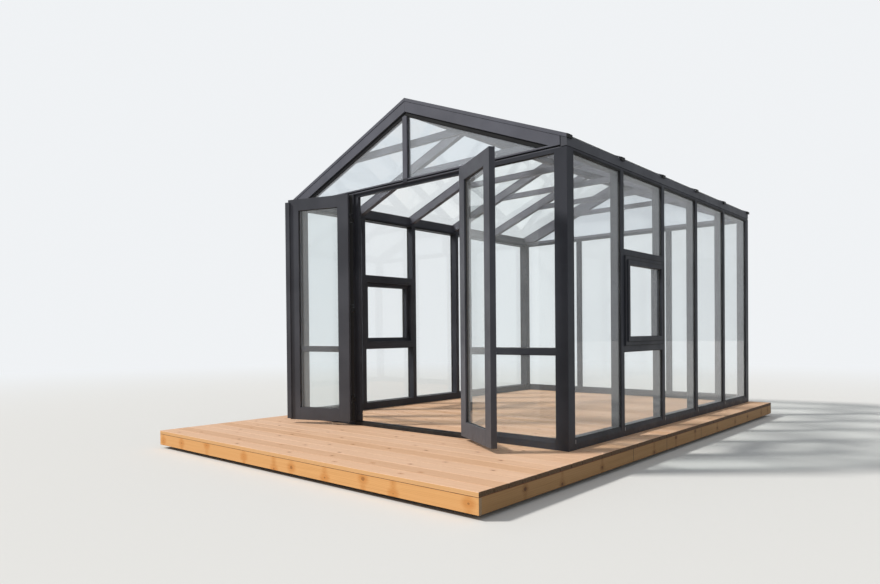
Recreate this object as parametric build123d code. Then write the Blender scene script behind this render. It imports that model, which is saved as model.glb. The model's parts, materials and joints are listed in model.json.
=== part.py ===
from build123d import *
from math import cos, radians, tan
import os

os.makedirs("parts", exist_ok=True)

# All sizes are millimetres. X runs to the right, Y to the back, Z up.
# The origin is on the ground, under the middle of the timber deck.

# Deck
deck_side_margin = 215
deck_front_margin = 1440
deck_rear_margin = 70
pad_height = 30
pad_size = 140
pad_inset = 250
pad_rows = 5
first_padded_joist = 1
padded_joist_step = 3
joist_height = 100
joist_width = 45
joist_count = 9
fascia_thickness = 28
board_thickness = 28

# House footprint and heights above the deck
house_width = 3010
house_length = 4520
bay_count = 5
wall_height = 2180
roof_slope = 23.2
eave_height = 75

# Frame sections
post_size = 100
mullion_width = 60
wall_depth = 90
end_wall_depth = 50
sill_height = 80
sill_fall_height = 30
sill_fall_depth = 8
sill_end_stop = 4
top_rail_height = 31
eave_width = 54
joint_gap = 6
joint_depth = 8
rafter_width = 60
rafter_depth = 80
end_rafter_depth = 95
end_rafter_lip = 33
lip_setback = 12
gable_rail_height = 32
gable_channel_level = 6
gable_channel_height = 14
gable_mullion_width = 50
gable_mullion_proud = 4
ridge_width = 60
ridge_depth = 120
tie_level = 2495
tie_depth = 60
tie_thickness = 40

# Glass
glass_thickness = 6
glass_setback = 12
gable_glass_setback = 18
groove_depth = 10
fit = 0.3
pane_gap = 14

# Roof trim
cap_width = 60
cap_thickness = 8
cap_overhang = 14
cap_stop_height = 16
verge_height = 26
verge_thickness = 4
ridge_cap_reach = 85
ridge_cap_thickness = 4
ridge_cap_setback = 45

# Front wall, with a rebate round the doorway that the closed leaves lie in
doorway_width = 1186
jamb_width = 62
threshold_height = 40
rebate_depth = 16
rebate_gap = 5
rail_level = 690
rail_height = 50

# Rear wall
rear_mullion_spacing = 1210

# Opening windows, one in each side wall, standing on a rail level with the sidelights' rails
window_bay = 1
window_height = 740
frame_face = 32
frame_proud = 12
sash_face = 40
sash_proud = 22
sash_depth = 68
sash_glass_setback = 20

# Doors
leaf_side_lap = 41.5
leaf_top_lap = 20
leaf_bottom = 36
leaf_thickness = 45
leaf_gap = 6
meeting_gap = 5
stile_width = 110
leaf_top_rail = 112
leaf_bottom_rail = 120
astragal_base = 20
astragal_lap = 25
astragal_depth = 16
astragal_end_gap = 6
left_open_angle = 158
right_open_angle = 145

# Hinges
hinge_count = 3
hinge_radius = 8
hinge_pin_radius = 4
pin_clearance = 0.05
knuckle_height = 36
knuckle_gap = 1
hinge_side_gap = 2
hinge_end_distance = 220

# Derived sizes
deck_width = house_width + 2 * deck_side_margin
deck_length = deck_front_margin + house_length + deck_rear_margin
deck_top = pad_height + joist_height + board_thickness
half_width = house_width / 2
y_front = -deck_length / 2 + deck_front_margin
y_rear = y_front + house_length
module = (house_length - post_size) / bay_count
wall_top = deck_top + wall_height
pitch = tan(radians(roof_slope))
slope_cos = cos(radians(roof_slope))
eave_top = wall_top + eave_height
ridge_top = eave_top + half_width * pitch
sill_top = deck_top + sill_height
glass_top = wall_top - top_rail_height
threshold_top = deck_top + threshold_height
tie_low = deck_top + tie_level
mullion_lines = [y_front + post_size / 2 + module * i for i in range(bay_count + 1)]
jamb_inner = doorway_width / 2
jamb_outer = jamb_inner + jamb_width
post_inner = half_width - post_size
leaf_edge = jamb_inner + leaf_side_lap
leaf_low = deck_top + leaf_bottom
leaf_high = glass_top + leaf_top_lap
rebate_edge = leaf_edge + rebate_gap
rebate_back = y_front + rebate_depth


def block(x0, x1, y0, y1, z0, z1):
    """A box between two corners."""
    centre = Pos((x0 + x1) / 2, (y0 + y1) / 2, (z0 + z1) / 2)
    return centre * Box(x1 - x0, y1 - y0, z1 - z0)


def gable_shape(points, y0, y1):
    """A flat outline, given as (x, z) points, stretched from y0 to y1."""
    face = make_face(Polyline([(x, y0, z) for x, z in points], close=True))
    return extrude(face, amount=y1 - y0, dir=(0, 1, 0))


def mirrored(shape):
    """The same shape on the left side."""
    return mirror(shape, about=Plane.YZ)


def save(name, solids):
    """Writes the solids of one sub-part."""
    shapes = []
    for item in solids:
        shapes.extend(item.solids())
    export_step(Compound(children=shapes), f"parts/{name}.step")


def slope_z(x, offset=0.0):
    """Height of the roof line over |x|, moved out of the slope by offset."""
    return eave_top + (half_width - abs(x)) * pitch + offset / slope_cos


# Positions of the glass, measured from the outer face of a wall
glass_in = glass_setback
glass_out = glass_in + glass_thickness
groove_in = glass_in - fit
groove_out = glass_out + fit
gable_glass_in = gable_glass_setback
gable_glass_out = gable_glass_in + glass_thickness
seat = groove_depth - fit


# Deck
def deck():
    hw = deck_width / 2
    hl = deck_length / 2
    boards_bottom = pad_height + joist_height
    save("deck_boards", [block(-hw, hw, -hl, hl, boards_bottom, deck_top)])
    inner = hw - fascia_thickness
    ends = hl - fascia_thickness
    save("deck_end_fascias", [
        block(-hw, hw, -hl, -ends, pad_height, boards_bottom),
        block(-hw, hw, ends, hl, pad_height, boards_bottom)])
    save("deck_side_fascias", [
        block(inner, hw, -ends, ends, pad_height, boards_bottom),
        block(-hw, -inner, -ends, ends, pad_height, boards_bottom)])
    outermost = inner - joist_width / 2
    places = [-outermost + 2 * outermost * i / (joist_count - 1) for i in range(joist_count)]
    save("deck_joists", [
        block(x - joist_width / 2, x + joist_width / 2, -ends, ends, pad_height, boards_bottom)
        for x in places])
    half = pad_size / 2
    reach = hl - pad_inset
    rows = [-reach + 2 * reach * i / (pad_rows - 1) for i in range(pad_rows)]
    save("deck_pads", [block(x - half, x + half, y - half, y + half, 0, pad_height)
                       for x in places[first_padded_joist::padded_joist_step] for y in rows])


# Posts and mullions
def corner_post():
    """The front right post, with a glazing groove in each wall."""
    x1 = half_width
    x0 = x1 - post_size
    y0 = y_front
    y1 = y0 + post_size
    post = block(x0, x1, y0, y1, deck_top, wall_top)
    front_groove = block(x0, x0 + groove_depth, y0 + groove_in, y0 + groove_out, deck_top, wall_top)
    side_groove = block(x1 - groove_out, x1 - groove_in, y1 - groove_depth, y1, deck_top, wall_top)
    return post - front_groove - side_groove


def side_mullion(y):
    """A mullion of the right wall, with a glazing groove on both sides."""
    x1 = half_width
    half = mullion_width / 2
    bar = block(x1 - wall_depth, x1, y - half, y + half, sill_top, wall_top)
    for side in (-1, 1):
        edge = y + side * half
        low, high = sorted((edge, edge - side * groove_depth))
        bar -= block(x1 - groove_out, x1 - groove_in, low, high, sill_top, wall_top)
    return bar


def rear_mullion(x):
    """A mullion of the rear wall, with a glazing groove on both sides."""
    half = mullion_width / 2
    bar = block(x - half, x + half, y_rear - end_wall_depth, y_rear, sill_top, glass_top)
    for side in (-1, 1):
        edge = x + side * half
        low, high = sorted((edge, edge - side * groove_depth))
        bar -= block(low, high, y_rear - groove_out, y_rear - groove_in, sill_top, glass_top)
    return bar


def across(shape):
    """Turns a piece of the front wall round to the rear wall."""
    middle = (y_front + y_rear) / 2
    return mirror(shape, about=Plane(origin=(0, middle, 0), z_dir=(0, 1, 0)))


def door_jamb():
    """The right jamb, rebated for the leaf on one side and grooved for the sidelight on the other."""
    bar = block(jamb_inner, jamb_outer, y_front, y_front + end_wall_depth, threshold_top, glass_top)
    bar -= block(jamb_inner, rebate_edge, y_front, rebate_back, threshold_top, glass_top)
    bar -= block(jamb_outer - groove_depth, jamb_outer, y_front + groove_in, y_front + groove_out,
                 threshold_top, glass_top)
    return bar


rear_lines = [-rear_mullion_spacing / 2, rear_mullion_spacing / 2]


def uprights():
    right = corner_post()
    left = mirrored(right)
    save("corner_posts", [right, left, across(right), across(left)])
    inner_lines = mullion_lines[1:-1]
    right_bars = [side_mullion(y) for y in inner_lines]
    save("right_wall_mullions", right_bars)
    save("left_wall_mullions", [mirrored(bar) for bar in right_bars])
    save("rear_wall_mullions", [rear_mullion(x) for x in rear_lines])
    jamb = door_jamb()
    save("door_jambs", [jamb, mirrored(jamb)])


# Sills, rails and headers
def rail_x(x0, x1, z0, z1, top_groove, bottom_groove):
    """A rail of the front wall, from x0 to x1, with its glazing grooves."""
    bar = block(x0, x1, y_front, y_front + end_wall_depth, z0, z1)
    if top_groove:
        bar -= block(x0, x1, y_front + groove_in, y_front + groove_out, z1 - groove_depth, z1)
    if bottom_groove:
        bar -= block(x0, x1, y_front + groove_in, y_front + groove_out, z0, z0 + groove_depth)
    return bar


def rail_y(y0, y1, z0, z1, top_groove, bottom_groove):
    """A rail of the right wall, from y0 to y1, with its glazing grooves."""
    x1 = half_width
    bar = block(x1 - wall_depth, x1, y0, y1, z0, z1)
    if top_groove:
        bar -= block(x1 - groove_out, x1 - groove_in, y0, y1, z1 - groove_depth, z1)
    if bottom_groove:
        bar -= block(x1 - groove_out, x1 - groove_in, y0, y1, z0, z0 + groove_depth)
    return bar


side_start = y_front + post_size
side_end = y_rear - post_size


def bays(lines, first, last, half):
    """The clear stretches between uprights."""
    edges = [first] + [e for line in lines for e in (line - half, line + half)] + [last]
    return list(zip(edges[::2], edges[1::2]))


side_bays = bays(mullion_lines[1:-1], side_start, side_end, mullion_width / 2)
rear_bays = bays(rear_lines, -post_inner, post_inner, mullion_width / 2)
rail_low = deck_top + rail_level
window_low = rail_low + rail_height
window_high = window_low + window_height


def front_header():
    """The front header, rebated over the doorway and grooved over the sidelights."""
    bar = block(-post_inner, post_inner, y_front, y_front + end_wall_depth, glass_top, wall_top)
    bar -= block(-rebate_edge, rebate_edge, y_front, rebate_back, glass_top, leaf_high + rebate_gap)
    groove = block(jamb_outer - groove_depth, post_inner, y_front + groove_in, y_front + groove_out,
                   glass_top, glass_top + groove_depth)
    return bar - groove - mirrored(groove)


def threshold():
    """The sill under the doorway and its jambs, with a low step in front for the closed leaves."""
    bar = block(-jamb_outer, jamb_outer, y_front, y_front + end_wall_depth, deck_top, threshold_top)
    return bar - block(-rebate_edge, rebate_edge, y_front, rebate_back, leaf_low - rebate_gap, threshold_top)


def fall_profile(face, inward):
    """The sloping part cut off a sill's outer edge, as (distance, height) points."""
    low = sill_top - sill_fall_height
    return [(face, low), (face, sill_top), (face + inward * sill_fall_depth, sill_top)]


def fall_x(x0, x1):
    """The sloping cut on a front sill, under the pane from x0 to x1."""
    points = [(x0 + sill_end_stop, y, z) for y, z in fall_profile(y_front, 1)]
    face = make_face(Polyline(points, close=True))
    return extrude(face, amount=x1 - x0 - 2 * sill_end_stop, dir=(1, 0, 0))


def fall_y(y0, y1):
    """The sloping cut on the right sill, under the pane from y0 to y1."""
    return gable_shape(fall_profile(half_width, -1), y0 + sill_end_stop, y1 - sill_end_stop)


def rails():
    sidelight_sill = rail_x(jamb_outer, post_inner, deck_top, sill_top, True, False)
    sidelight_sill -= fall_x(jamb_outer, post_inner)
    side_sill = rail_y(side_start, side_end, deck_top, sill_top, True, False)
    for y0, y1 in side_bays:
        side_sill -= fall_y(y0, y1)
    rear_sill = rail_x(-post_inner, post_inner, deck_top, sill_top, True, False)
    for x0, x1 in rear_bays:
        rear_sill -= fall_x(x0, x1)
    rear_sill = across(rear_sill)
    save("wall_sills", [sidelight_sill, mirrored(sidelight_sill), side_sill, mirrored(side_sill), rear_sill])
    save("door_threshold", [threshold()])
    rear_header = across(rail_x(-post_inner, post_inner, glass_top, wall_top, False, True))
    save("headers", [front_header(), rear_header])
    top_rails = [rail_y(y0, y1, glass_top, wall_top, False, True) for y0, y1 in side_bays]
    save("wall_top_rails", top_rails + [mirrored(bar) for bar in top_rails])
    sidelight_rail = rail_x(jamb_outer, post_inner, rail_low, window_low, True, True)
    save("sidelight_rails", [sidelight_rail, mirrored(sidelight_rail)])
    y0, y1 = side_bays[window_bay]
    upper = rail_y(y0, y1, window_high, window_high + rail_height, True, False)
    lower = rail_y(y0, y1, rail_low, window_low, False, True)
    save("window_rails", [upper, lower, mirrored(upper), mirrored(lower)])


# Roof structure
def eave_beam():
    """The right eave beam, with a shadow joint along its foot and round both ends."""
    x1 = half_width
    x0 = x1 - eave_width
    beam = gable_shape([(x0, wall_top), (x1, wall_top), (x1, eave_top), (x0, slope_z(x0))], y_front, y_rear)
    beam -= block(x1 - joint_depth, x1, y_front, y_rear, wall_top, wall_top + joint_gap)
    end_joint = block(x0, x1, y_front, y_front + joint_depth, wall_top, wall_top + joint_gap)
    end_joint += block(x0, x0 + joint_gap, y_front, y_front + joint_depth, wall_top, slope_z(x0))
    return beam - end_joint - across(end_joint)


beam_inner = half_width - eave_width
gable_rail_top = wall_top + gable_rail_height
end_rafter_low = end_rafter_depth + end_rafter_lip


def slope_x_at(z, offset):
    """Where the line parallel to the slope, moved by offset, has height z."""
    return half_width - (z - eave_top - offset / slope_cos) / pitch


def gable_light(edge):
    """Outline of the right half gable pane, let into the frame by edge."""
    half = gable_mullion_width / 2 - edge
    low = -end_rafter_low + edge
    base = gable_rail_top - edge
    return [(half, base), (slope_x_at(base, low), base), (half, slope_z(half, low))]


def gable_groove():
    """The space that the front right gable pane is let into."""
    y0 = y_front + gable_glass_in - fit
    return gable_shape(gable_light(groove_depth), y0, y0 + glass_thickness + 2 * fit)


def sloped_panel(x0, x1, low, high, y0, y1):
    """A piece along the right slope, between two offsets from the roof line."""
    return gable_shape([(x0, slope_z(x0, low)), (x1, slope_z(x1, low)),
                        (x1, slope_z(x1, high)), (x0, slope_z(x0, high))], y0, y1)


def end_rafter():
    """The front right end rafter: a deep face over a lip that holds the gable glass."""
    def band(low):
        toe = slope_x_at(gable_rail_top, low)
        return [(0, slope_z(0)), (beam_inner, slope_z(beam_inner)), (beam_inner, gable_rail_top),
                (toe, gable_rail_top), (0, slope_z(0, low))]
    bar = gable_shape(band(-end_rafter_depth), y_front, y_front + rafter_width)
    bar += gable_shape(band(-end_rafter_low), y_front + lip_setback, y_front + rafter_width)
    return bar - gable_groove()


def rafter(y):
    """A rafter of the right slope, from the ridge beam to the eave beam."""
    half = rafter_width / 2
    return sloped_panel(ridge_width / 2, beam_inner, -rafter_depth, 0, y - half, y + half)


def collar_tie(y0, y1):
    """A level bar from the underside of one slope's rafters to that of the other's."""
    high = tie_low + tie_depth
    wide = slope_x_at(tie_low, -rafter_depth)
    narrow = slope_x_at(high, -rafter_depth)
    return gable_shape([(-wide, tie_low), (wide, tie_low), (narrow, high), (-narrow, high)], y0, y1)


def collar_ties():
    """One tie under each pair of rafters, and one behind each pair of end rafters."""
    half = tie_thickness / 2
    behind = y_front + rafter_width
    end_tie = collar_tie(behind, behind + tie_thickness)
    inner_ties = [collar_tie(y - half, y + half) for y in mullion_lines[1:-1]]
    save("collar_ties", [end_tie, across(end_tie)] + inner_ties)


def roof_frame():
    beam = eave_beam()
    save("eave_beams", [beam, mirrored(beam)])
    rafters = [rafter(y) for y in mullion_lines[1:-1]]
    save("rafters", rafters + [mirrored(bar) for bar in rafters])
    collar_ties()
    front = end_rafter()
    save("right_end_rafters", [front, across(front)])
    save("left_end_rafters", [mirrored(front), across(mirrored(front))])
    half = ridge_width / 2
    outline = [(-half, ridge_top - ridge_depth), (half, ridge_top - ridge_depth),
               (half, slope_z(half)), (0, ridge_top), (-half, slope_z(half))]
    save("ridge_beam", [gable_shape(outline, y_front + rafter_width, y_rear - rafter_width)])
    rail = block(-beam_inner, beam_inner, y_front, y_front + end_wall_depth, wall_top, gable_rail_top)
    channel_low = wall_top + gable_channel_level
    rail -= block(-beam_inner, beam_inner, y_front, y_front + lip_setback,
                  channel_low, channel_low + gable_channel_height)
    rail -= gable_groove()
    rail -= mirrored(gable_groove())
    save("gable_rails", [rail, across(rail)])
    half = gable_mullion_width / 2
    low_edge = slope_z(half, -end_rafter_low)
    centre = slope_z(0, -end_rafter_low)
    upright = gable_shape([(-half, gable_rail_top), (half, gable_rail_top), (half, low_edge), (0, centre),
                           (-half, low_edge)], y_front - gable_mullion_proud, y_front + end_wall_depth)
    upright -= gable_groove()
    upright -= mirrored(gable_groove())
    save("gable_mullions", [upright, across(upright)])


# Roof glass and trim
glass_bottom = fit
glass_upper = glass_bottom + glass_thickness
cap_bottom = glass_upper + fit
cap_upper = cap_bottom + cap_thickness


def roof_pane(y0, y1):
    return sloped_panel(fit, half_width, glass_bottom, glass_upper, y0, y1)


def roof_panes():
    """Right slope, one pane to each bay, with a gap over every rafter."""
    edges = [y_front] + mullion_lines[1:-1] + [y_rear]
    panes = []
    for i in range(bay_count):
        y0 = edges[i] + (pane_gap / 2 if i else rafter_width / 2 + pane_gap / 2)
        y1 = edges[i + 1] - (pane_gap / 2 if i < bay_count - 1 else rafter_width / 2 + pane_gap / 2)
        panes.append(roof_pane(y0, y1))
    return panes


def glazing_cap(y0, y1, web):
    """A cap strip along the slope, with a web down to the rafter and a stop at the eave."""
    x1 = half_width + cap_overhang
    cap = sloped_panel(fit, x1, cap_bottom, cap_upper, y0, y1)
    half = (pane_gap - 2 * fit) / 2
    cap += sloped_panel(fit, half_width, 0, cap_bottom, web - half, web + half)
    x0 = half_width + fit
    low = eave_top - cap_stop_height
    stop = gable_shape([(x0, low), (x1, low), (x1, slope_z(x1, cap_bottom)), (x0, slope_z(x0, cap_bottom))],
                       y0, y1)
    return cap + stop


def verge_cap():
    """The front right end cap, with a flange turned down over the face of the end rafter."""
    cap = glazing_cap(y_front, y_front + cap_width, y_front + rafter_width / 2)
    return cap + sloped_panel(fit, half_width + cap_overhang, cap_upper - verge_height, cap_upper,
                              y_front - verge_thickness, y_front)


def ridge_cap():
    """The folded strip along the ridge, over the upper ends of the glazing caps."""
    reach = ridge_cap_reach
    low = cap_upper + fit
    high = low + ridge_cap_thickness
    return gable_shape([(-reach, slope_z(reach, low)), (0, slope_z(0, low)), (reach, slope_z(reach, low)),
                        (reach, slope_z(reach, high)), (0, slope_z(0, high)), (-reach, slope_z(reach, high))],
                       y_front + ridge_cap_setback, y_rear - ridge_cap_setback)


def roof_cover():
    panes = roof_panes()
    save("right_roof_glass", panes)
    save("left_roof_glass", [mirrored(pane) for pane in panes])
    caps = [glazing_cap(y - cap_width / 2, y + cap_width / 2, y) for y in mullion_lines[1:-1]]
    caps += [verge_cap(), across(verge_cap())]
    save("glazing_caps", caps + [mirrored(cap) for cap in caps])
    save("ridge_cap", [ridge_cap()])


# Wall glass
def pane_x(x0, x1, z0, z1):
    """A pane of the front wall that fills a clear opening and its grooves."""
    return block(x0 - seat, x1 + seat, y_front + glass_in, y_front + glass_out, z0 - seat, z1 + seat)


def pane_y(y0, y1, z0, z1):
    """A pane of the right wall that fills a clear opening and its grooves."""
    x1 = half_width
    return block(x1 - glass_out, x1 - glass_in, y0 - seat, y1 + seat, z0 - seat, z1 + seat)


def wall_glass():
    lights = [pane_x(jamb_outer, post_inner, sill_top, rail_low),
              pane_x(jamb_outer, post_inner, window_low, glass_top)]
    save("sidelight_glass", lights + [mirrored(pane) for pane in lights])
    panes = []
    for i, (y0, y1) in enumerate(side_bays):
        if i == window_bay:
            panes.append(pane_y(y0, y1, sill_top, rail_low))
            panes.append(pane_y(y0, y1, window_high + rail_height, glass_top))
        else:
            panes.append(pane_y(y0, y1, sill_top, glass_top))
    save("right_wall_glass", panes)
    save("left_wall_glass", [mirrored(pane) for pane in panes])
    save("rear_wall_glass", [across(pane_x(x0, x1, sill_top, glass_top)) for x0, x1 in rear_bays])


def gable_glass():
    pane = gable_shape(gable_light(seat), y_front + gable_glass_in, y_front + gable_glass_out)
    save("gable_glass", [pane, mirrored(pane), across(pane), across(mirrored(pane))])


# Windows
def windows():
    y0, y1 = side_bays[window_bay]
    x1 = half_width + frame_proud
    x0 = half_width - wall_depth
    stiles = [block(x0, x1, y0, y0 + frame_face, window_low, window_high),
              block(x0, x1, y1 - frame_face, y1, window_low, window_high)]
    rails_ = [block(x0, x1, y0 + frame_face, y1 - frame_face, window_low, window_low + frame_face),
              block(x0, x1, y0 + frame_face, y1 - frame_face, window_high - frame_face, window_high)]
    save("window_frame_stiles", stiles + [mirrored(bar) for bar in stiles])
    save("window_frame_rails", rails_ + [mirrored(bar) for bar in rails_])
    sx1 = half_width + sash_proud
    sx0 = sx1 - sash_depth
    sy0 = y0 + frame_face + fit
    sy1 = y1 - frame_face - fit
    sz0 = window_low + frame_face + fit
    sz1 = window_high - frame_face - fit
    gx1 = sx1 - sash_glass_setback
    gx0 = gx1 - glass_thickness
    stiles = []
    for low, side in ((sy0, 1), (sy1 - sash_face, -1)):
        bar = block(sx0, sx1, low, low + sash_face, sz0, sz1)
        edge = low + sash_face if side == 1 else low
        g0, g1 = sorted((edge, edge - side * groove_depth))
        stiles.append(bar - block(gx0 - fit, gx1 + fit, g0, g1, sz0, sz1))
    bars = []
    for low, side in ((sz0, 1), (sz1 - sash_face, -1)):
        bar = block(sx0, sx1, sy0 + sash_face, sy1 - sash_face, low, low + sash_face)
        edge = low + sash_face if side == 1 else low
        g0, g1 = sorted((edge, edge - side * groove_depth))
        bars.append(bar - block(gx0 - fit, gx1 + fit, sy0 + sash_face, sy1 - sash_face, g0, g1))
    save("window_sash_stiles", stiles + [mirrored(bar) for bar in stiles])
    save("window_sash_rails", bars + [mirrored(bar) for bar in bars])
    pane = block(gx0, gx1, sy0 + sash_face - seat, sy1 - sash_face + seat,
                 sz0 + sash_face - seat, sz1 - sash_face + seat)
    save("window_glass", [pane, mirrored(pane)])


# Doors, built closed and then swung open about their hinge axes
leaf_height = leaf_high - leaf_low
leaf_inner = rebate_back - leaf_gap
leaf_outer = leaf_inner - leaf_thickness
leaf_free = meeting_gap / 2
axis_x = leaf_edge + hinge_side_gap + hinge_radius
axis_y = leaf_outer
hinge_levels = [leaf_low + hinge_end_distance
                + (leaf_height - 2 * hinge_end_distance) * i / (hinge_count - 1) for i in range(hinge_count)]
pane_y0 = leaf_outer + (leaf_thickness - glass_thickness) / 2
pane_y1 = pane_y0 + glass_thickness


def astragal():
    """The strip inside the free stile that covers the meeting gap and stops the other leaf."""
    low = threshold_top + astragal_end_gap
    high = glass_top - astragal_end_gap
    back = leaf_inner + astragal_depth
    base = block(leaf_free, leaf_free + astragal_base, leaf_inner, back, low, high)
    lip = block(leaf_free - astragal_lap, leaf_free, leaf_inner + meeting_gap, back, low, high)
    return base + lip


def leaf_stiles(with_astragal):
    """Stiles of a leaf hung on the right."""
    hung = block(leaf_edge - stile_width, leaf_edge, leaf_outer, leaf_inner, leaf_low, leaf_high)
    free = block(leaf_free, leaf_free + stile_width, leaf_outer, leaf_inner, leaf_low, leaf_high)
    if with_astragal:
        free += astragal()
    inner_free = leaf_free + stile_width
    inner_hung = leaf_edge - stile_width
    free -= block(inner_free - groove_depth, inner_free, pane_y0 - fit, pane_y1 + fit, leaf_low, leaf_high)
    hung -= block(inner_hung, inner_hung + groove_depth, pane_y0 - fit, pane_y1 + fit, leaf_low, leaf_high)
    return [hung, free]


def leaf_rails():
    x0 = leaf_free + stile_width
    x1 = leaf_edge - stile_width
    low = block(x0, x1, leaf_outer, leaf_inner, leaf_low, leaf_low + leaf_bottom_rail)
    high = block(x0, x1, leaf_outer, leaf_inner, leaf_high - leaf_top_rail, leaf_high)
    low -= block(x0, x1, pane_y0 - fit, pane_y1 + fit, leaf_low + leaf_bottom_rail - groove_depth,
                 leaf_low + leaf_bottom_rail)
    high -= block(x0, x1, pane_y0 - fit, pane_y1 + fit, leaf_high - leaf_top_rail,
                  leaf_high - leaf_top_rail + groove_depth)
    return [low, high]


def leaf_glass():
    x0 = leaf_free + stile_width
    x1 = leaf_edge - stile_width
    return [block(x0 - seat, x1 + seat, pane_y0, pane_y1, leaf_low + leaf_bottom_rail - seat,
                  leaf_high - leaf_top_rail + seat)]


def hinge_fixed(z):
    """An arm on the jamb with the lower knuckle and the pin."""
    arm = block(axis_x - hinge_radius, axis_x + hinge_radius, axis_y, y_front, z - knuckle_height, z)
    knuckle = Pos(axis_x, axis_y, z - knuckle_height / 2) * Cylinder(hinge_radius, knuckle_height)
    pin = Pos(axis_x, axis_y, z + knuckle_height / 2) * Cylinder(hinge_pin_radius, knuckle_height)
    return arm + knuckle + pin


def hinge_moving(z):
    """The upper knuckle with its arm to the leaf's edge."""
    low = z + knuckle_gap
    high = z + knuckle_gap + knuckle_height
    knuckle = Pos(axis_x, axis_y, (low + high) / 2) * Cylinder(hinge_radius, knuckle_height)
    arm = block(leaf_edge, axis_x, leaf_outer, leaf_outer + hinge_radius, low, high)
    bore_radius = hinge_pin_radius + pin_clearance
    bore = Pos(axis_x, axis_y, (low + high) / 2) * Cylinder(bore_radius, 2 * knuckle_height)
    return knuckle + arm - bore


def swung(shape, side, angle):
    """Opens a leaf piece about its hinge axis; side is 1 on the right and -1 on the left."""
    if side < 0:
        shape = mirrored(shape)
    axis = Axis((side * axis_x, axis_y, 0), (0, 0, side))
    return shape.rotate(axis, angle)


def doors():
    for name, side, angle in (("left", -1, left_open_angle), ("right", 1, right_open_angle)):
        groups = {"stiles": leaf_stiles(side < 0), "rails": leaf_rails(), "glass": leaf_glass(),
                  "hinges": [hinge_moving(z) for z in hinge_levels]}
        for piece, solids in groups.items():
            save(f"{name}_door_{piece}", [swung(shape, side, angle) for shape in solids])
    fixed = [hinge_fixed(z) for z in hinge_levels]
    save("hinge_brackets", fixed + [mirrored(shape) for shape in fixed])


deck()
uprights()
rails()
roof_frame()
roof_cover()
wall_glass()
gable_glass()
windows()
doors()
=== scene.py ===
import json
import math
import random

import bmesh
import bpy
from mathutils import Matrix, Vector


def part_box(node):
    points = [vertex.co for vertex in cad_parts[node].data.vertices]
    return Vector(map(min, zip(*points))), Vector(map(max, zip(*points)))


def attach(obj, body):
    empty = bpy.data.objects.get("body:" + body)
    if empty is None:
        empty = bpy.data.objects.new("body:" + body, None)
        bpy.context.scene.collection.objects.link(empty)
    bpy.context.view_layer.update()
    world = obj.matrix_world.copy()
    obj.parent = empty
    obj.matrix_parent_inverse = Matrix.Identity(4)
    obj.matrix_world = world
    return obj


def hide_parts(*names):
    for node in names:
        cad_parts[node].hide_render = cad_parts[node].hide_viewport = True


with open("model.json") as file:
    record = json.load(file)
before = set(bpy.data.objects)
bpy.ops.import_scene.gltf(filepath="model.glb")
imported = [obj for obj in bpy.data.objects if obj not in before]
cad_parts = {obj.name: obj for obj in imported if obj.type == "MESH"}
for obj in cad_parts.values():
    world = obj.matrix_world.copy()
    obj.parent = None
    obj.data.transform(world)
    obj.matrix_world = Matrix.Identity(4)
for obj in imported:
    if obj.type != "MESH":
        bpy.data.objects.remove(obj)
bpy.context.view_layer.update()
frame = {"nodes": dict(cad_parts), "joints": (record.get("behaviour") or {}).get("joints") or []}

# Everything is in metres: X runs to the right, Y to the back, Z up, and the ground is at 0.
nodes = frame["nodes"]
deck_low, deck_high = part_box("deck_boards")
post_low, post_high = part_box("corner_posts")
fascia_low, fascia_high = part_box("deck_side_fascias")
deck_top = deck_high.z
front = post_low.y
rear = post_high.y
half_house = post_high.x
fascia_middle = (fascia_low.z + fascia_high.z) / 2

# Camera, solved from straight edges of the photograph
photo_width = 880
photo_height = 584
camera_place = Vector((3.7354, -5.9693, 1.011))
camera_yaw = -0.79266
camera_pitch = -0.011245
camera_roll = -0.010525
focal_px = 655.535
principal_x = 348.767
principal_y = 342.182
sensor_width = 36.0
far_clip = 200.0

# Light and backdrop
background_colour = (0.87, 0.89, 0.91)
background_strength = 1.0
fill_colour = (0.94, 0.97, 1.0)
fill_strength = 0.45
sun_colour = (1.0, 0.965, 0.91)
sun_strength = 2.8
sun_softness = math.radians(7)
sun_from = Vector((-0.60, -0.60, 0.80))
floor_colour = (0.78, 0.78, 0.77)
floor_bounce = (0.34, 0.34, 0.34)
floor_roughness = 0.9
floor_gloss = 0.1
floor_radius = 70.0
floor_segments = 96
backdrop_start = 4.5
backdrop_full = 17.0

# Boards and joints of the deck
board_count = 40
board_gap = 0.004
board_edge = 0.003
board_drop = 0.0006
board_end_play = 0.0015
board_tone_range = 0.12
board_pitch = (deck_high.y - deck_low.y + board_gap) / board_count
side_fascia_joints = (-0.978, -0.298, 0.55)

# Rounded edges
weld_distance = 1e-5
flat_angle = math.radians(0.5)
bevel_segments = 2
part_bevel_angle = math.radians(25)
trim_bevel_angle = math.radians(30)
metal_edge = 0.0012
timber_edge = 0.002

# Gaskets, seals and small trim
pane_seat = 0.0097
pane_face_area = 0.05
gasket_width = 0.004
gasket_height = 0.006
gasket_lip = 0.0015
seal_reach = 0.021
seal_root = 0.0105
seal_thickness = 0.004
seal_notch = 0.005
seal_edge = 0.0012
frame_line_width = 0.005
sash_line_width = 0.004
line_proud = 0.0006
# Black blocks beside the hinges, painted shade past the jamb
pad_inner = 0.6535
pad_outer = 0.690
pad_depth = 0.010
pad_beyond = 0.009
pad_clearance = 0.0003
pad_edge = 0.0015
clip_width = 0.008
clip_height = 0.030
clip_thickness = 0.0015
clip_bite = 0.006
clip_drop = 0.006
clip_gap = 0.001
clip_edge = 0.001
foot_half_width = 0.024
foot_proud = 0.0035
foot_depth = 0.012
foot_margin = 0.001
foot_edge = 0.0012

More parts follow.
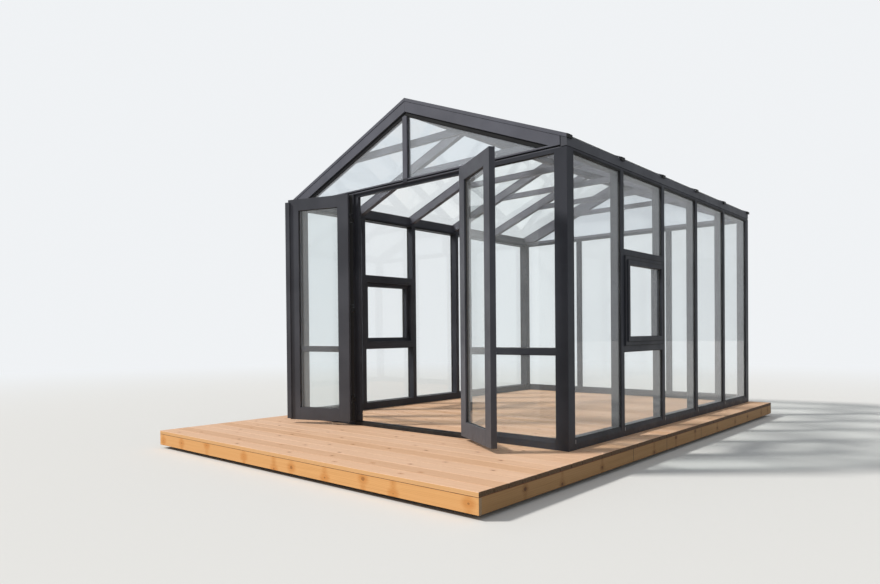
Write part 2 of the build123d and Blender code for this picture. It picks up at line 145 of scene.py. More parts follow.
# Coated metal
lip_start = 0.008
lip_end = 0.016
lip_blur = 0.002
# The foot of the wall top rails is black over this height, as painted shade and a gasket line; the same
# black also paints shade on the gable lip and the cap ends.
rail_shade_and_gasket_height = 0.017
shade_and_gasket_black = (0.010, 0.0105, 0.012)
dust_height = 0.16
dust_colour = (0.085, 0.066, 0.050)
peel_depth = 0.00018

# Glass
glass_ior = 1.38
glass_wave_depth = 0.0012
lamp_tint = (0.945, 0.955, 0.955, 1)

# Timber
board_shift_range = 37.0
plain_shift = 13.7
knot_squeeze = 0.8
ring_density = 640.0
figure_wander = 0.09
figure_bend = -0.75
heart_below = 0.02
arc_density = 1600.0
grain_depth = 0.0009
front_edge_tint = (1.08, 0.96, 0.65)
# Painted shade on the board sides inside the gaps
painted_gap_shade = (0.045, 0.026, 0.015)
# Painted shade in a line at the top of the fascias, under the boards
painted_shade_under_boards = (0.22, 0.085, 0.03)
joint_colour = (0.02, 0.012, 0.008)


# Shader nodes
def add(tree, kind, values=None, **settings):
    """A shader node with settings, and input values or links by socket name or number."""
    node = tree.nodes.new(kind)
    for name, value in settings.items():
        setattr(node, name, value)
    for key, value in (values or {}).items():
        socket = node.inputs[key]
        if isinstance(value, bpy.types.NodeSocket):
            tree.links.new(value, socket)
        else:
            socket.default_value = value
    return node


def math_node(tree, operation, a, b=0.0, c=0.0, clamp=False):
    return add(tree, "ShaderNodeMath", {0: a, 1: b, 2: c}, operation=operation, use_clamp=clamp).outputs[0]


def plus(tree, a, b):
    return math_node(tree, "ADD", a, b)


def minus(tree, a, b):
    return math_node(tree, "SUBTRACT", a, b)


def times(tree, a, b):
    return math_node(tree, "MULTIPLY", a, b)


def over(tree, a, b):
    return math_node(tree, "DIVIDE", a, b)


def times_plus(tree, a, b, c, clamp=False):
    return math_node(tree, "MULTIPLY_ADD", a, b, c, clamp)


def magnitude(tree, value):
    return math_node(tree, "ABSOLUTE", value)


def parts_of(tree, vector):
    """The sockets X, Y and Z of a vector."""
    return add(tree, "ShaderNodeSeparateXYZ", {0: vector}).outputs


def joined(tree, x, y, z):
    return add(tree, "ShaderNodeCombineXYZ", {0: x, 1: y, 2: z}).outputs[0]


def length_of(tree, vector):
    return add(tree, "ShaderNodeVectorMath", {0: vector}, operation="LENGTH").outputs["Value"]


def mix_colour(tree, factor, a, b, blend="MIX"):
    node = add(tree, "ShaderNodeMix", {"Factor": factor}, data_type="RGBA", blend_type=blend)
    for index, value in ((6, a), (7, b)):
        if isinstance(value, bpy.types.NodeSocket):
            tree.links.new(value, node.inputs[index])
        else:
            node.inputs[index].default_value = (*value[:3], 1)
    return node.outputs[2]


def ramp(tree, factor, low, high, low_value=0.0, high_value=1.0):
    """A smooth step from low to high."""
    node = add(tree, "ShaderNodeMapRange", {"Value": factor, "From Min": low, "From Max": high,
                                            "To Min": low_value, "To Max": high_value},
               interpolation_type="SMOOTHSTEP")
    return node.outputs[0]


def noise(tree, vector, scale, detail=3.0, roughness=0.5):
    node = add(tree, "ShaderNodeTexNoise", {"Vector": vector, "Scale": scale, "Detail": detail,
                                            "Roughness": roughness})
    return node.outputs["Fac"]


def stretched(tree, vector, factors):
    return add(tree, "ShaderNodeMapping", {"Vector": vector, "Scale": factors}).outputs[0]


def place_of(tree):
    """The point on the object, in metres of the shared frame."""
    return add(tree, "ShaderNodeTexCoord").outputs["Object"]


def facing_of(tree):
    """The sockets X, Y and Z of the surface's direction."""
    return parts_of(tree, add(tree, "ShaderNodeNewGeometry").outputs["Normal"])


def material(name):
    made = bpy.data.materials.new(name)
    made.use_nodes = True
    tree = made.node_tree
    tree.nodes.clear()
    shader = add(tree, "ShaderNodeBsdfPrincipled")
    add(tree, "ShaderNodeOutputMaterial", {"Surface": shader.outputs[0]})
    return made, tree, shader


def blend_surface(tree, factor, first, second):
    """Shows the second shader in place of the first one where the factor is 1."""
    both = add(tree, "ShaderNodeMixShader", {0: factor, 1: first.outputs[0], 2: second.outputs[0]})
    output = next(node for node in tree.nodes if node.type == "OUTPUT_MATERIAL")
    tree.links.new(both.outputs[0], output.inputs["Surface"])


def bump(tree, shader, height, distance, strength):
    node = add(tree, "ShaderNodeBump", {"Height": height, "Distance": distance, "Strength": strength})
    tree.links.new(node.outputs[0], shader.inputs["Normal"])


# Materials
def coat(name, colour, roughness, gloss, painted_shade_lip=False, painted_shade_ends=False, shade_and_gasket_below=None):
    """Satin powder coat: fine orange peel, slow change of tone, and some dust near the deck.

    The lip flag paints shade black on the recessed lip that holds the gable glass, and the ends flag paints
    shade black on the parts that overhang the walls. Below the given height the coat is black, as painted
    shade and a gasket line.
    """
    made, tree, shader = material(name)
    place = place_of(tree)
    cloud = noise(tree, place, scale=2.2, detail=4.0)
    speck = noise(tree, place, scale=900.0, detail=2.0)
    peel = noise(tree, place, scale=420.0, detail=2.0)
    pale = tuple(c * 1.35 + 0.004 for c in colour)
    spark = tuple(c * 2.2 for c in colour)
    tone = mix_colour(tree, ramp(tree, cloud, 0.3, 0.7), colour, pale)
    tone = mix_colour(tree, ramp(tree, speck, 0.62, 0.72, high_value=0.25), tone, spark)
    split = parts_of(tree, place)
    # Painted shade: the recessed face of the lip that holds the gable glass is coloured black.
    if painted_shade_lip:
        inward = math_node(tree, "MINIMUM", minus(tree, split["Y"], front), minus(tree, rear, split["Y"]))
        lip = times(tree, ramp(tree, inward, lip_start, lip_start + lip_blur),
                    ramp(tree, inward, lip_end + lip_blur, lip_end))
        lip = times(tree, lip, ramp(tree, magnitude(tree, facing_of(tree)["Y"]), 0.6, 0.8))
        tone = mix_colour(tree, lip, tone, shade_and_gasket_black)
    # Painted shade: where a cap overhangs the walls it is coloured black.
    if painted_shade_ends:
        outside = ramp(tree, magnitude(tree, split["X"]), half_house - 0.004, half_house + 0.002)
        tone = mix_colour(tree, outside, tone, shade_and_gasket_black)
    # Painted shade and a gasket line: the coat is black below the given height.
    if shade_and_gasket_below is not None:
        under = ramp(tree, split["Z"], shade_and_gasket_below + 0.001, shade_and_gasket_below - 0.001)
        tone = mix_colour(tree, under, tone, shade_and_gasket_black)
    near_deck = ramp(tree, split["Z"], deck_top + dust_height, deck_top)
    patches = ramp(tree, noise(tree, place, scale=28.0, detail=5.0), 0.35, 0.75, high_value=0.35)
    dust = times(tree, near_deck, patches)
    tone = mix_colour(tree, dust, tone, dust_colour)
    tree.links.new(tone, shader.inputs["Base Color"])
    wear = noise(tree, place, scale=9.0, detail=4.0)
    rough = ramp(tree, wear, 0.3, 0.7, roughness - 0.05, roughness + 0.06)
    rough = plus(tree, rough, times(tree, dust, 0.5))
    tree.links.new(rough, shader.inputs["Roughness"])
    shader.inputs["Specular IOR Level"].default_value = gloss
    bump(tree, shader, peel, distance=peel_depth, strength=0.35)
    return made


def rubber(name):
    made, tree, shader = material(name)
    fine = noise(tree, place_of(tree), scale=260.0)
    tone = mix_colour(tree, fine, (0.006, 0.006, 0.007), (0.018, 0.018, 0.019))
    tree.links.new(tone, shader.inputs["Base Color"])
    tree.links.new(ramp(tree, fine, 0.3, 0.7, 0.6, 0.82), shader.inputs["Roughness"])
    bump(tree, shader, fine, distance=0.0002, strength=0.4)
    return made


def glass(name, tint, haze, clear_share=1.0):
    """Glass that lets lamps through, with a slow wave in its surface and faint smears.

    What clear_share leaves over is a pale diffuse veil, a painted reflection of the sky.
    """
    made, tree, shader = material(name)
    place = place_of(tree)
    shader.inputs["Base Color"].default_value = (*tint, 1)
    shader.inputs["Transmission Weight"].default_value = clear_share
    shader.inputs["IOR"].default_value = glass_ior
    smear = noise(tree, stretched(tree, place, (1.0, 1.0, 0.35)), scale=7.0, detail=5.0, roughness=0.6)
    tree.links.new(ramp(tree, smear, 0.55, 0.85, high_value=haze), shader.inputs["Roughness"])
    bump(tree, shader, noise(tree, place, scale=1.6, detail=1.0), distance=glass_wave_depth, strength=0.35)
    path = add(tree, "ShaderNodeLightPath")
    open_to_light = math_node(tree, "MAXIMUM", path.outputs["Is Shadow Ray"], path.outputs["Is Diffuse Ray"])
    blend_surface(tree, open_to_light, shader, add(tree, "ShaderNodeBsdfTransparent", {0: lamp_tint}))
    return made


def timber(name, along, pale, dark, ends, knots, boards=None, middle=0.0, joints=()):
    """Softwood with grain along one axis, growth figure, knots and end grain.

    ends are the lighter and the darker tone of the end grain. knots holds how far apart they are, what share
    of them shows, the radius of core and halo, how far they lie off the middle, their colours, and the
    strength of the stain that crosses the whole width. With boards, a start and a pitch, each board has its
    own figure and tone. Without, middle is the height of the plank's middle. joints are places along the
    grain where two lengths meet.
    """
    made, tree, shader = material(name)
    place = place_of(tree)
    split = parts_of(tree, place)
    run = split[along]
    across = split["Y" if along == "X" else "X"]
    up = split["Z"]
    depth = plus(tree, across, up)
    if boards:
        start, pitch = boards
        index = math_node(tree, "FLOOR", over(tree, minus(tree, across, start), pitch))
        luck = add(tree, "ShaderNodeTexWhiteNoise", {"W": index}, noise_dimensions="1D").outputs["Value"]
        beside = minus(tree, depth, times_plus(tree, index, pitch, start + pitch / 2 + deck_top))
        shift = times(tree, luck, board_shift_range)
    else:
        beside = minus(tree, up, middle)
        shift = plain_shift
    grain_run = plus(tree, run, shift)
    grain = joined(tree, grain_run, depth, shift)

    # Knots first, because the figure bends round them
    spacing, core_radius, halo_radius = knots["spacing"], knots["core"], knots["halo"]
    spots = add(tree, "ShaderNodeTexVoronoi", {"W": over(tree, grain_run, spacing), "Scale": 1.0,
                                               "Randomness": 0.9}, voronoi_dimensions="1D")
    chance = add(tree, "ShaderNodeSeparateColor", {0: spots.outputs["Color"]}).outputs
    shown = math_node(tree, "LESS_THAN", chance[0], knots["share"])
    off = times_plus(tree, chance[1], 2 * knots["spread"], -knots["spread"])
    radius = times_plus(tree, chance[2], 1.1 * core_radius, 0.35 * core_radius)
    ahead = minus(tree, grain_run, times(tree, spots.outputs["W"], spacing))
    aside = minus(tree, beside, off)
    reach = length_of(tree, joined(tree, times(tree, ahead, knot_squeeze), aside, 0.0))
    ragged = times_plus(tree, noise(tree, grain, scale=90.0), 0.8, 0.6)
    near = over(tree, times(tree, reach, ragged), radius)
    core = times(tree, ramp(tree, near, 1.3, 0.7), shown)
    halo = times(tree, ramp(tree, reach, halo_radius, 0.3 * halo_radius), shown)
    strength = times(tree, noise(tree, grain, scale=9.0, detail=2.0), 1.6 * knots["stain"])
    stain = times(tree, ramp(tree, magnitude(tree, ahead), 0.8 * halo_radius, 0.0), strength)
    halo = math_node(tree, "MAXIMUM", halo, times(tree, stain, shown))

    # Growth rings, streaks and pores
    bend = times(tree, times(tree, halo, aside), figure_bend)
    wander = noise(tree, stretched(tree, grain, (0.9, 5.0, 1.0)), scale=1.0, detail=2.0)
    figure = plus(tree, plus(tree, depth, bend), times(tree, wander, figure_wander))
    rings = math_node(tree, "SINE", times(tree, figure, ring_density))
    rings = math_node(tree, "POWER", times_plus(tree, rings, 0.5, 0.5), 2.0)
    streak = noise(tree, stretched(tree, grain, (1.6, 70.0, 1.0)), scale=1.0, detail=5.0, roughness=0.62)
    pores = noise(tree, stretched(tree, grain, (14.0, 700.0, 1.0)), scale=1.0, detail=2.0)
    cloud = noise(tree, stretched(tree, grain, (1.1, 4.0, 1.0)), scale=1.0)
    body = times_plus(tree, rings, 0.16, times(tree, streak, 0.70))
    mild = tuple(0.65 * a + 0.35 * b for a, b in zip(pale, dark))
    tone = mix_colour(tree, ramp(tree, body, 0.20, 0.85), pale, dark)
    tone = mix_colour(tree, ramp(tree, cloud, 0.35, 0.7, high_value=0.6), tone, mild)
    pore_colour = tuple(c * 0.5 for c in dark)
    tone = mix_colour(tree, ramp(tree, pores, 0.60, 0.75, high_value=0.12), tone, pore_colour)
    tone = mix_colour(tree, halo, tone, knots["halo_colour"], "MULTIPLY")
    tone = mix_colour(tree, times(tree, core, 0.9), tone, knots["colour"])

    # Each board's own tone, the lit front edge of the first board, and painted shade on the board sides in
    # the gaps
    facing = facing_of(tree)
    if boards:
        first = math_node(tree, "LESS_THAN", index, 0.5)
        value = times_plus(tree, luck, board_tone_range, 1 - board_tone_range / 2)
        value = times_plus(tree, first, 0.05, value)
        saturation = times_plus(tree, luck, -0.14, 1.05)
        tone = add(tree, "ShaderNodeHueSaturation",
                   {"Color": tone, "Value": value, "Saturation": saturation}).outputs[0]
        side = ramp(tree, magnitude(tree, facing["Y"]), 0.80, 0.95)
        outer = plus(tree, math_node(tree, "LESS_THAN", across, deck_low.y + 0.002),
                     math_node(tree, "GREATER_THAN", across, deck_high.y - 0.006))
        tone = mix_colour(tree, times(tree, side, outer), tone, front_edge_tint, "MULTIPLY")
        # Painted shade: the board sides that face into the gaps are coloured dark.
        tone = mix_colour(tree, times(tree, side, minus(tree, 1.0, outer)), tone, painted_gap_shade)

    # End grain: arcs about a heart that lies below each board
    end = ramp(tree, magnitude(tree, facing[along]), 0.75, 0.95)
    away = length_of(tree, joined(tree, beside, plus(tree, up, heart_below), 0.0))
    arcs = math_node(tree, "SINE", times(tree, away, arc_density))
    saw = noise(tree, place, scale=110.0, detail=4.0, roughness=0.6)
    end_mix = times_plus(tree, arcs, 0.18, times_plus(tree, saw, 2.2, -0.6), clamp=True)
    tone = mix_colour(tree, end, tone, mix_colour(tree, end_mix, ends[0], ends[1]))

    # Painted shade in a dark line under the boards, and a dark line at each joint
    if not boards:
        board_shade_line = ramp(tree, up, fascia_high.z - 0.0045, fascia_high.z - 0.003)
        tone = mix_colour(tree, board_shade_line, tone, painted_shade_under_boards)
    for joint in joints:
        line = ramp(tree, magnitude(tree, minus(tree, run, joint)), 0.004, 0.002)
        tone = mix_colour(tree, line, tone, joint_colour)

    tree.links.new(tone, shader.inputs["Base Color"])
    tree.links.new(times_plus(tree, streak, 0.22, 0.52), shader.inputs["Roughness"])
    shader.inputs["Specular IOR Level"].default_value = 0.3
    height = plus(tree, times(tree, streak, 0.6), times(tree, rings, -0.25))
    height = plus(tree, height, times(tree, core, 0.3))
    bump(tree, shader, height, distance=grain_depth, strength=0.6)
    return made


def concrete(name):
    made, tree, shader = material(name)
    place = place_of(tree)
    cloud = noise(tree, place, scale=12.0, detail=5.0, roughness=0.65)
    grit = noise(tree, place, scale=240.0)
    tone = mix_colour(tree, cloud, (0.22, 0.215, 0.20), (0.42, 0.41, 0.385))
    tone = mix_colour(tree, ramp(tree, grit, 0.6, 0.75, high_value=0.5), tone, (0.12, 0.115, 0.11))
    tree.links.new(tone, shader.inputs["Base Color"])
    shader.inputs["Roughness"].default_value = 0.9
    bump(tree, shader, grit, distance=0.0015, strength=0.6)
    return made


frame_colour = (0.040, 0.043, 0.053)
# The roof, cap and door coats are lighter copies of the frame coat: painted light and sheen on the roof
# members, door leaves and eave beams that catch the sun and sky.
roof_colour_painted_sheen = (0.100, 0.104, 0.128)
frame_coat = coat("frame_coat", frame_colour, roughness=0.42, gloss=0.10)
# The rail coat's black foot is painted shade and a gasket line.
rail_coat = coat("rail_coat", frame_colour, roughness=0.42, gloss=0.10,
                 shade_and_gasket_below=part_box("wall_top_rails")[0].z + rail_shade_and_gasket_height)
door_coat_painted_light = coat("door_coat_painted_light", (0.072, 0.076, 0.090), roughness=0.42, gloss=0.16)
roof_coat_painted_sheen = coat("roof_coat_painted_sheen", roof_colour_painted_sheen, roughness=0.42, gloss=0.20, painted_shade_lip=True)
trim_coat = coat("trim_coat", (0.012, 0.0125, 0.014), roughness=0.45, gloss=0.18)
cap_coat_painted_sheen_and_shade = coat("cap_coat_painted_sheen_and_shade", roof_colour_painted_sheen, roughness=0.42, gloss=0.20, painted_shade_ends=True)
hinge_coat = coat("hinge_coat", (0.016, 0.016, 0.017), roughness=0.34, gloss=0.25)
clip_coat = coat("clip_coat", (0.30, 0.30, 0.31), roughness=0.45, gloss=0.4)
gasket_rubber = rubber("gasket_rubber")
# The wall and gable panes have a pale diffuse veil, bluish on the gable, that is a painted reflection of the
# sky.
wall_pane = glass("wall_pane", (0.955, 0.98, 0.985), haze=0.035, clear_share=0.955)
gable_pane = glass("gable_pane", (0.90, 0.945, 0.99), haze=0.06, clear_share=0.84)
roof_pane = glass("roof_pane", (0.96, 0.985, 0.985), haze=0.06)
board_knots = {"spacing": 0.55, "share": 0.72, "core": 0.0075, "halo": 0.026, "spread": 0.05, "stain": 0.0,
               "colour": (0.30, 0.15, 0.08), "halo_colour": (0.80, 0.68, 0.60)}
front_knots = {"spacing": 0.30, "share": 0.72, "core": 0.0085, "halo": 0.052, "spread": 0.040, "stain": 0.90,
               "colour": (0.44, 0.185, 0.055), "halo_colour": (0.86, 0.72, 0.56)}
side_knots = {"spacing": 0.50, "share": 0.75, "core": 0.011, "halo": 0.042, "spread": 0.036, "stain": 1.0,
              "colour": (0.13, 0.06, 0.025), "halo_colour": (0.74, 0.66, 0.58)}
joist_knots = {"spacing": 0.5, "share": 0.6, "core": 0.009, "halo": 0.04, "spread": 0.03, "stain": 0.2,
               "colour": (0.10, 0.07, 0.04), "halo_colour": (0.75, 0.7, 0.62)}
deck_wood = timber("deck_wood", "X", pale=(0.83, 0.53, 0.345), dark=(0.60, 0.355, 0.205),
                   ends=((0.19, 0.105, 0.045), (0.045, 0.024, 0.011)), knots=board_knots,
                   boards=(deck_low.y - board_gap / 2, board_pitch))
front_fascia_wood = timber("front_fascia_wood", "X", pale=(0.96, 0.52, 0.205), dark=(0.76, 0.355, 0.115),
                           ends=((0.46, 0.33, 0.20), (0.30, 0.20, 0.12)), knots=front_knots,
                           middle=fascia_middle)
side_fascia_wood = timber("side_fascia_wood", "Y", pale=(0.50, 0.285, 0.12), dark=(0.32, 0.17, 0.065),
                          ends=((0.40, 0.26, 0.14), (0.24, 0.14, 0.07)), knots=side_knots,
                          middle=fascia_middle, joints=side_fascia_joints)
joist_wood = timber("joist_wood", "Y", pale=(0.42, 0.33, 0.19), dark=(0.27, 0.20, 0.10),
                    ends=((0.36, 0.27, 0.15), (0.2, 0.14, 0.08)), knots=joist_knots, middle=fascia_middle)
pad_concrete = concrete("pad_concrete")


# The CAD nodes
def dress(name, made):
    slots = nodes[name].data.materials
    if not len(slots):
        slots.append(made)
    for i in range(len(slots)):
        slots[i] = made


def bevel(piece, width, angle):
    edge = piece.modifiers.new("edge", "BEVEL")
    edge.width = width
    edge.segments = bevel_segments
    edge.limit_method = "ANGLE"
    edge.angle_limit = angle
    return edge


def soften(name, width):
    """Small rounded edges on a metal or timber piece."""
    piece = nodes[name]
    weld = piece.modifiers.new("weld", "WELD")
    weld.merge_threshold = weld_distance
    flat = piece.modifiers.new("flat", "DECIMATE")
    flat.decimate_type = "DISSOLVE"
    flat.angle_limit = flat_angle
    bevel(piece, width, part_bevel_angle).harden_normals = True


own_look = {"gable_glass": gable_pane, "deck_boards": deck_wood, "deck_end_fascias": front_fascia_wood,
            "deck_side_fascias": side_fascia_wood, "deck_joists": joist_wood, "deck_pads": pad_concrete,
            "ridge_cap": trim_coat, "door_threshold": trim_coat, "wall_top_rails": rail_coat,
            "glazing_caps": cap_coat_painted_sheen_and_shade, "eave_beams": door_coat_painted_light, "left_end_rafters": roof_coat_painted_sheen,
            "right_end_rafters": roof_coat_painted_sheen, "rafters": roof_coat_painted_sheen, "gable_rails": roof_coat_painted_sheen,
            "gable_mullions": roof_coat_painted_sheen, "collar_ties": roof_coat_painted_sheen, "ridge_beam": roof_coat_painted_sheen}
timber_nodes = ("deck_end_fascias", "deck_side_fascias", "deck_joists")
sharp_nodes = ("deck_boards", "deck_pads")


def look_of(name):
    if name in own_look:
        return own_look[name]
    if "glass" in name:
        return roof_pane if "roof" in name else wall_pane
    if "hinge" in name:
        return hinge_coat
    if name.startswith(("left_door", "right_door")):
        return door_coat_painted_light
    return frame_coat


for name in nodes:
    dress(name, look_of(name))
    if "glass" not in name and name not in sharp_nodes:
        soften(name, timber_edge if name in timber_nodes else metal_edge)


# Pieces of the scene
def finished(name, bm):
    mesh = bpy.data.meshes.new(name)
    bm.to_mesh(mesh)
    bm.free()
    return mesh


def mesh_piece(name, bm, made, body="house"):
    piece = bpy.data.objects.new(name, finished(name, bm))
    bpy.context.scene.collection.objects.link(piece)
    piece.data.materials.append(made)
    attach(piece, body)
    return piece


def board_section(y0, y1, z0, z1, edge):
    """Outline of one board across its length, with eased edges."""
    return [(y0, z0), (y1, z0), (y1, z1 - edge), (y1 - edge, z1), (y0 + edge, z1), (y0, z1 - edge)]


def deck_boards():
    bm = bmesh.new()
    rng = random.Random(7)
    for i in range(board_count):
        y0 = deck_low.y + i * board_pitch
        y1 = y0 + board_pitch - board_gap
        top = deck_top - rng.uniform(0.0, board_drop)
        outline = board_section(y0, y1, deck_low.z, top, board_edge)
        rings = []
        for x in (deck_low.x + rng.uniform(0, board_end_play), deck_high.x - rng.uniform(0, board_end_play)):
            rings.append([bm.verts.new((x, y, z)) for y, z in outline])
        count = len(outline)
        for k in range(count):
            bm.faces.new((rings[0][k], rings[0][(k + 1) % count], rings[1][(k + 1) % count], rings[1][k]))
        bm.faces.new(rings[0][::-1])
        bm.faces.new(rings[1])
    bmesh.ops.recalc_face_normals(bm, faces=bm.faces)
    piece = mesh_piece("deck_board_rows", bm, deck_wood)
    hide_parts("deck_boards")


def solids_of(name):
    """The welded mesh of a node, and the vertices of each of its solids."""
    bm = bmesh.new()
    bm.from_mesh(nodes[name].data)
    bmesh.ops.remove_doubles(bm, verts=bm.verts, dist=weld_distance)
    bmesh.ops.dissolve_limit(bm, angle_limit=flat_angle, verts=bm.verts, edges=bm.edges)
    solids = []
    left = set(bm.verts)
    while left:
        found = [left.pop()]
        for vert in found:
            for edge in vert.link_edges:
                other = edge.other_vert(vert)
                if other in left:
                    left.remove(other)
                    found.append(other)
        solids.append(found)
    return bm, solids


def solid_boxes(name):
    """Lowest and highest corner of each solid of a node, sorted along the house."""
    bm, solids = solids_of(name)
    boxes = []
    for verts in solids:
        points = [vert.co for vert in verts]
        boxes.append((Vector([min(p[i] for p in points) for i in range(3)]),
                      Vector([max(p[i] for p in points) for i in range(3)])))
    bm.free()
    return sorted(boxes, key=lambda ends: (ends[0].y, ends[0].x, ends[0].z))


def inset(outline, normal, margin):
    """Corners of a flat outline moved inwards by margin."""
    corners = []
    for i, corner in enumerate(outline):
        before = normal.cross(corner - outline[i - 1]).normalized()
        after = normal.cross(outline[(i + 1) % len(outline)] - corner).normalized()
        corners.append(corner + (before + after) * (margin / (1 + before.dot(after))))
    return corners


def add_ring(bm, outline, normal, section):
    """A closed band round an outline; section is a loop of (inset, height) points."""
    loops = []
    for margin, height in section:
        loops.append([bm.verts.new(p + normal * height) for p in inset(outline, normal, margin)])
    count = len(outline)
    for k, loop in enumerate(loops):
        following = loops[(k + 1) % len(loops)]
        for i in range(count):
            j = (i + 1) % count
            bm.faces.new((loop[i], loop[j], following[j], following[i]))


def add_block(bm, low, high, place=None):
    """A box between two corners, moved by the matrix place."""
    made = bmesh.ops.create_cube(bm, size=1.0)["verts"]
    size = high - low
    middle = (low + high) / 2
    for vert in made:
        vert.co = Vector((vert.co.x * size.x, vert.co.y * size.y, vert.co.z * size.z)) + middle
        if place is not None:
            vert.co = place @ vert.co


def gaskets():
    """Rubber wedges round both faces of each wall, gable, window and door pane."""
    section = [(pane_seat, 0.0), (pane_seat, gasket_height), (pane_seat + gasket_width, gasket_lip),
               (pane_seat + gasket_width, 0.0)]
    fixed = [name for name in nodes if name.endswith("glass") and "door" not in name and "roof" not in name]
    groups = {"house": fixed, "left_door": ["left_door_glass"], "right_door": ["right_door_glass"]}
    for body, names in groups.items():
        rings = bmesh.new()
        for name in sorted(names):
            bm, _ = solids_of(name)
            for face in bm.faces:
                if face.calc_area() > pane_face_area:
                    add_ring(rings, [vert.co.copy() for vert in face.verts], face.normal.copy(), section)
            bm.free()
        bmesh.ops.recalc_face_normals(rings, faces=rings.faces)
        piece = mesh_piece(body + "_gaskets", rings, gasket_rubber, body)


def window_seals():
    """A black joint line on the outside between each window frame and the wall, and one round its sash."""
    bm = bmesh.new()
    for node, width in (("window_frame_stiles", frame_line_width), ("window_sash_stiles", sash_line_width)):
        section = [(0.0, 0.0), (0.0, line_proud), (width, line_proud), (width, 0.0)]
        for side in (-1, 1):
            own = [(low, high) for low, high in solid_boxes(node) if low.x * side > 0]
            y0, y1 = min(low.y for low, high in own), max(high.y for low, high in own)
            z0, z1 = min(low.z for low, high in own), max(high.z for low, high in own)
            x = max(high.x for low, high in own) if side > 0 else min(low.x for low, high in own)
            outline = [Vector((x, y, z)) for y, z in ((y0, z0), (y1, z0), (y1, z1), (y0, z1))]
            add_ring(bm, outline if side > 0 else outline[::-1], Vector((side, 0, 0)), section)
    bmesh.ops.recalc_face_normals(bm, faces=bm.faces)
    piece = mesh_piece("window_seals", bm, gasket_rubber)


def hinge_seals():
    """A rubber strip along the hung edge of each leaf, cut away round its hinges."""
    for joint in frame["joints"]:
        pivot = Vector(joint["pos_m"])
        side = -1 if pivot.x < 0 else 1
        body = joint["child"]
        opened = math.radians(-joint["range_deg"][0])
        turn = Matrix.Rotation(side * opened, 4, "Z")
        place = Matrix.Translation(Vector((pivot.x, pivot.y, 0))) @ turn
        low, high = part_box(body + "_stiles")
        levels = [low.z]
        brackets = [ends for ends in solid_boxes("hinge_brackets") if ends[0].x * side > 0]
        for bottom, top in sorted((ends[0].z, ends[1].z) for ends in brackets):
            levels += [bottom - seal_notch, top + seal_notch]
        levels.append(high.z)
        x0, x1 = sorted((side * seal_reach, -side * seal_root))
        bm = bmesh.new()
        for bottom, top in zip(levels[::2], levels[1::2]):
            add_block(bm, Vector((x0, 0.0, bottom)), Vector((x1, seal_thickness, top)), place)
        piece = mesh_piece(body + "_hinge_seal", bm, gasket_rubber, body)
        bevel(piece, seal_edge, trim_bevel_angle)


def hinge_shade_blocks():
    """A black block on the wall beside each hinge bracket, which closes the view past the jamb there.

    It is painted shade in place of the jamb's face in the shadow of the leaf.
    """
    bm = bmesh.new()
    for low, high in solid_boxes("hinge_brackets"):
        side = -1 if low.x < 0 else 1
        x0, x1 = sorted((side * pad_inner, side * pad_outer))
        add_block(bm, Vector((x0, front - pad_depth, low.z - pad_beyond)),
                  Vector((x1, front - pad_clearance, high.z + pad_beyond)))
    piece = mesh_piece("hinge_shade_blocks", bm, hinge_coat)
    bevel(piece, pad_edge, trim_bevel_angle)


def sill_clips():
    """A pale clip on the sill at the front end of each bay of the two side walls."""
    clip_top = max(high.z for low, high in solid_boxes("wall_sills")) - clip_drop
    front_posts_end = solid_boxes("corner_posts")[0][1].y
    bm = bmesh.new()
    for wall, side in (("right_wall_mullions", 1), ("left_wall_mullions", -1)):
        x0, x1 = sorted((side * (half_house - clip_bite), side * (half_house + clip_thickness)))
        for bay_start in [front_posts_end] + [high.y for low, high in solid_boxes(wall)]:
            y = bay_start + clip_gap
            add_block(bm, Vector((x0, y, clip_top - clip_height)), Vector((x1, y + clip_width, clip_top)))
    piece = mesh_piece("sill_clips", bm, clip_coat)
    bevel(piece, clip_edge, trim_bevel_angle)


def gable_feet():
    """A small plate that joins each gable mullion to the rail under it."""
    bm = bmesh.new()
    for low, high in solid_boxes("gable_rails"):
        outside = low.y if low.y < 0 else high.y
        inward = 1 if low.y < 0 else -1
        y0, y1 = sorted((outside - inward * foot_proud, outside + inward * foot_depth))
        add_block(bm, Vector((-foot_half_width, y0, low.z + foot_margin)),
                  Vector((foot_half_width, y1, high.z - foot_margin)))
    piece = mesh_piece("gable_mullion_feet", bm, frame_coat)
    bevel(piece, foot_edge, trim_bevel_angle)


deck_boards()
gaskets()
window_seals()
hinge_seals()
hinge_shade_blocks()
sill_clips()
gable_feet()


# Stage
def backdrop_seen(tree, path):
    """1 for the rays that show the backdrop: those of the camera, also through glass."""
    return math_node(tree, "MAXIMUM", path.outputs["Is Camera Ray"], path.outputs["Is Transmission Ray"])


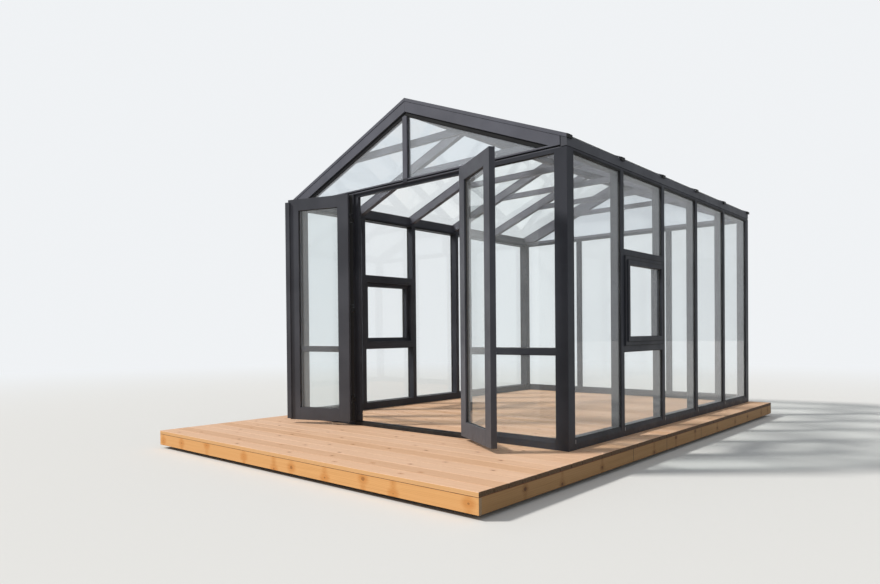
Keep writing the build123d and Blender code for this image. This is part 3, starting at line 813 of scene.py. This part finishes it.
def floor():
    """A pale disc that keeps the shadow, and passes into the backdrop further out."""
    made, tree, shader = material("pale_floor")
    away = length_of(tree, add(tree, "ShaderNodeNewGeometry").outputs["Position"])
    shader.inputs["Roughness"].default_value = floor_roughness
    shader.inputs["Specular IOR Level"].default_value = floor_gloss
    glow = add(tree, "ShaderNodeEmission",
               {"Color": (*background_colour, 1), "Strength": background_strength})
    path = add(tree, "ShaderNodeLightPath")
    tree.links.new(mix_colour(tree, path.outputs["Is Diffuse Ray"], floor_colour, floor_bounce),
                   shader.inputs["Base Color"])
    far = times(tree, ramp(tree, away, backdrop_start, backdrop_full), backdrop_seen(tree, path))
    blend_surface(tree, far, shader, glow)
    bm = bmesh.new()
    bmesh.ops.create_circle(bm, cap_ends=True, segments=floor_segments, radius=floor_radius)
    piece = bpy.data.objects.new("floor", finished("floor", bm))
    bpy.context.scene.collection.objects.link(piece)
    piece.data.materials.append(made)


def sky():
    """A soft fill all round, and the plain backdrop where it is seen."""
    world = bpy.data.worlds.new("studio")
    world.use_nodes = True
    tree = world.node_tree
    tree.nodes.clear()
    seen = backdrop_seen(tree, add(tree, "ShaderNodeLightPath"))
    shown = add(tree, "ShaderNodeBackground",
                {"Color": (*background_colour, 1), "Strength": background_strength})
    fill = add(tree, "ShaderNodeBackground", {"Color": (*fill_colour, 1), "Strength": fill_strength})
    both = add(tree, "ShaderNodeMixShader", {0: seen, 1: fill.outputs[0], 2: shown.outputs[0]})
    add(tree, "ShaderNodeOutputWorld", {"Surface": both.outputs[0]})
    bpy.context.scene.world = world


def sun():
    lamp = bpy.data.lights.new("key", "SUN")
    lamp.energy = sun_strength
    lamp.angle = sun_softness
    lamp.color = sun_colour
    holder = bpy.data.objects.new("key", lamp)
    holder.rotation_mode = "QUATERNION"
    holder.rotation_quaternion = (-sun_from).to_track_quat("-Z", "Y")
    bpy.context.scene.collection.objects.link(holder)


def camera():
    eye = bpy.data.cameras.new("view")
    eye.sensor_width = sensor_width
    eye.lens = focal_px / photo_width * sensor_width
    eye.shift_x = (photo_width / 2 - principal_x) / photo_width
    eye.shift_y = (principal_y - photo_height / 2) / photo_width
    eye.clip_end = far_clip
    holder = bpy.data.objects.new("view", eye)
    bpy.context.scene.collection.objects.link(holder)
    ahead = Vector((math.sin(camera_yaw) * math.cos(camera_pitch),
                    math.cos(camera_yaw) * math.cos(camera_pitch), math.sin(camera_pitch)))
    level = Vector((math.cos(camera_yaw), -math.sin(camera_yaw), 0.0))
    above = level.cross(ahead)
    right = math.cos(camera_roll) * level + math.sin(camera_roll) * above
    up = -math.sin(camera_roll) * level + math.cos(camera_roll) * above
    turn = Matrix((right, up, -ahead)).transposed()
    holder.matrix_world = Matrix.Translation(camera_place) @ turn.to_4x4()
    bpy.context.scene.camera = holder


floor()
sky()
sun()
camera()
bpy.context.scene.view_settings.view_transform = "Standard"
